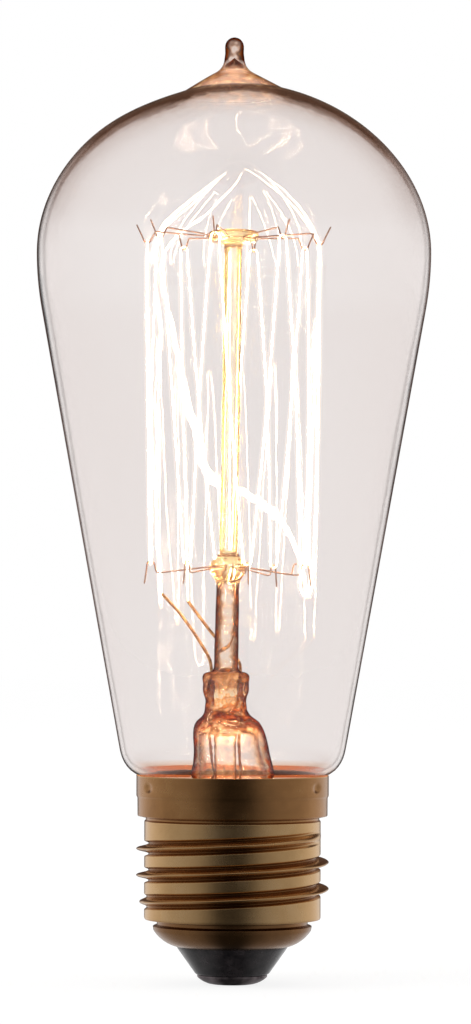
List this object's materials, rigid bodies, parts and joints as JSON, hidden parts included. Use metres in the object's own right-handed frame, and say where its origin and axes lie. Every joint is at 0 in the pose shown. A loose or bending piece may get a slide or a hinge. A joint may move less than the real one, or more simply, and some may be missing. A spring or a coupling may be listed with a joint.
{
  "type": "filament lamp",
  "caption": "Tapered clear-glass filament lamp with a drawn tip, a glass stem carrying a long cage filament on wire hooks, and a brass Edison screw cap.",
  "frame": {"origin": "centre of the flat end contact, on the lamp's axis", "axes": "+Z along the lamp's axis towards the glass tip, -Y towards the picture's viewer, +X to the viewer's right"},
  "size_m": [0.0542, 0.0542, 0.1302],
  "materials": {
    "smoky_glass": "blown, clear, faintly smoky",
    "stem_glass": "flame-worked, clear",
    "hook_wire": "drawn wire, dull",
    "glowing_thread": "lit filament",
    "nickel_wire": "plain wire, warm from the light",
    "copper_wire": "copper-clad wire, oxidised",
    "old_brass": "pressed sheet, browned",
    "black_glass": "cast black glass",
    "tinned_plate": "pressed sheet, dull",
    "cement": "baked cement",
    "solder": "tin solder, frosted"
  },
  "bodies": {
    "root": {"glass_envelope": "smoky_glass", "crown_tip": "smoky_glass", "stem_flare": "stem_glass", "stem_press": "stem_glass", "exhaust_tube": "stem_glass", "stem_rod": "stem_glass", "lower_bead": "stem_glass", "arbor_rod": "stem_glass", "top_button": "stem_glass", "upper_hook_1": "hook_wire", "upper_hook_2": "hook_wire", "upper_hook_3": "hook_wire", "upper_hook_4": "hook_wire", "upper_hook_5": "hook_wire", "upper_hook_6": "hook_wire", "upper_hook_7": "hook_wire", "upper_hook_8": "hook_wire", "lower_hook_1": "hook_wire", "lower_hook_2": "hook_wire", "lower_hook_3": "hook_wire", "lower_hook_4": "hook_wire", "lower_hook_5": "hook_wire", "lower_hook_6": "hook_wire", "lower_hook_7": "hook_wire", "filament": "glowing_thread", "inner_lead_1": "nickel_wire", "inner_lead_2": "nickel_wire", "seal_wire_1": "copper_wire", "seal_wire_2": "copper_wire", "outer_lead_side": "copper_wire", "outer_lead_centre": "copper_wire", "cap_shell": "old_brass", "cap_insulator": "black_glass", "centre_contact": "tinned_plate", "cement_ring": "cement", "side_solder": "solder", "centre_solder": "solder"}
  },
  "joints": []
}
